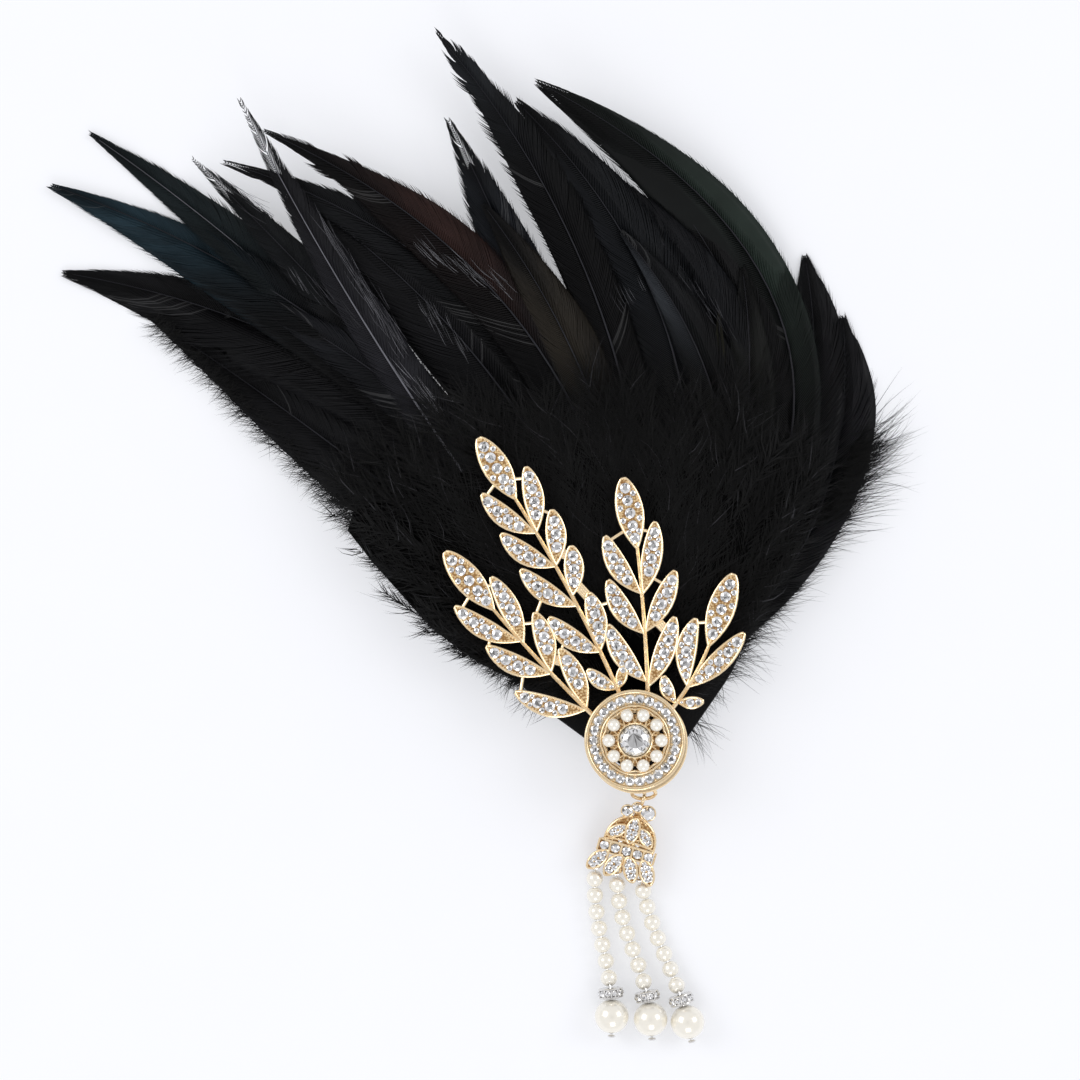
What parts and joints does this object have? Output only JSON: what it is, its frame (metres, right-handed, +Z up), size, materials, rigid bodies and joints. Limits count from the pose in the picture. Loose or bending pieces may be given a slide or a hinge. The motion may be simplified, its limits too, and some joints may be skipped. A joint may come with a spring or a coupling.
{
  "type": "feather hair clip (flapper style feather headpiece)",
  "caption": "Flapper style feather hair clip: a black feather fan on a felt backing with a gilt rhinestone leaf ornament, a pearl medallion and a pearl tassel.",
  "frame": {"origin": "middle of the hair clip's flat underside, where the headpiece lies on a surface or on hair", "axes": "+Z up out of the front, +Y along the feathers away from the tassel, +X to the viewer's right"},
  "size_m": [0.1944, 0.2378, 0.0204],
  "materials": {
    "gilt": "polished",
    "silver": "polished",
    "crystal": "polished",
    "pearl": "gloss",
    "feather": "satin",
    "felt": "matte",
    "steel": "satin"
  },
  "bodies": {
    "root": {"hair_clip": "steel", "felt_backing": "felt", "long_feathers": "feather", "down": "feather", "leaf_casting": "gilt", "medallion": "gilt", "rosette": "gilt", "centre_stone": "crystal", "rosette_pearl_01": "pearl", "rosette_pearl_02": "pearl", "rosette_pearl_03": "pearl", "rosette_pearl_04": "pearl", "rosette_pearl_05": "pearl", "rosette_pearl_06": "pearl", "rosette_pearl_07": "pearl", "rosette_pearl_08": "pearl", "rosette_pearl_09": "pearl", "rosette_pearl_10": "pearl", "jump_ring": "gilt", "tassel_cap": "gilt", "pearl_strand_left": "pearl", "rondelle_left": "silver", "drop_pearl_left": "pearl", "pearl_strand_middle": "pearl", "rondelle_middle": "silver", "drop_pearl_middle": "pearl", "pearl_strand_right": "pearl", "rondelle_right": "silver", "drop_pearl_right": "pearl"}
  },
  "joints": []
}
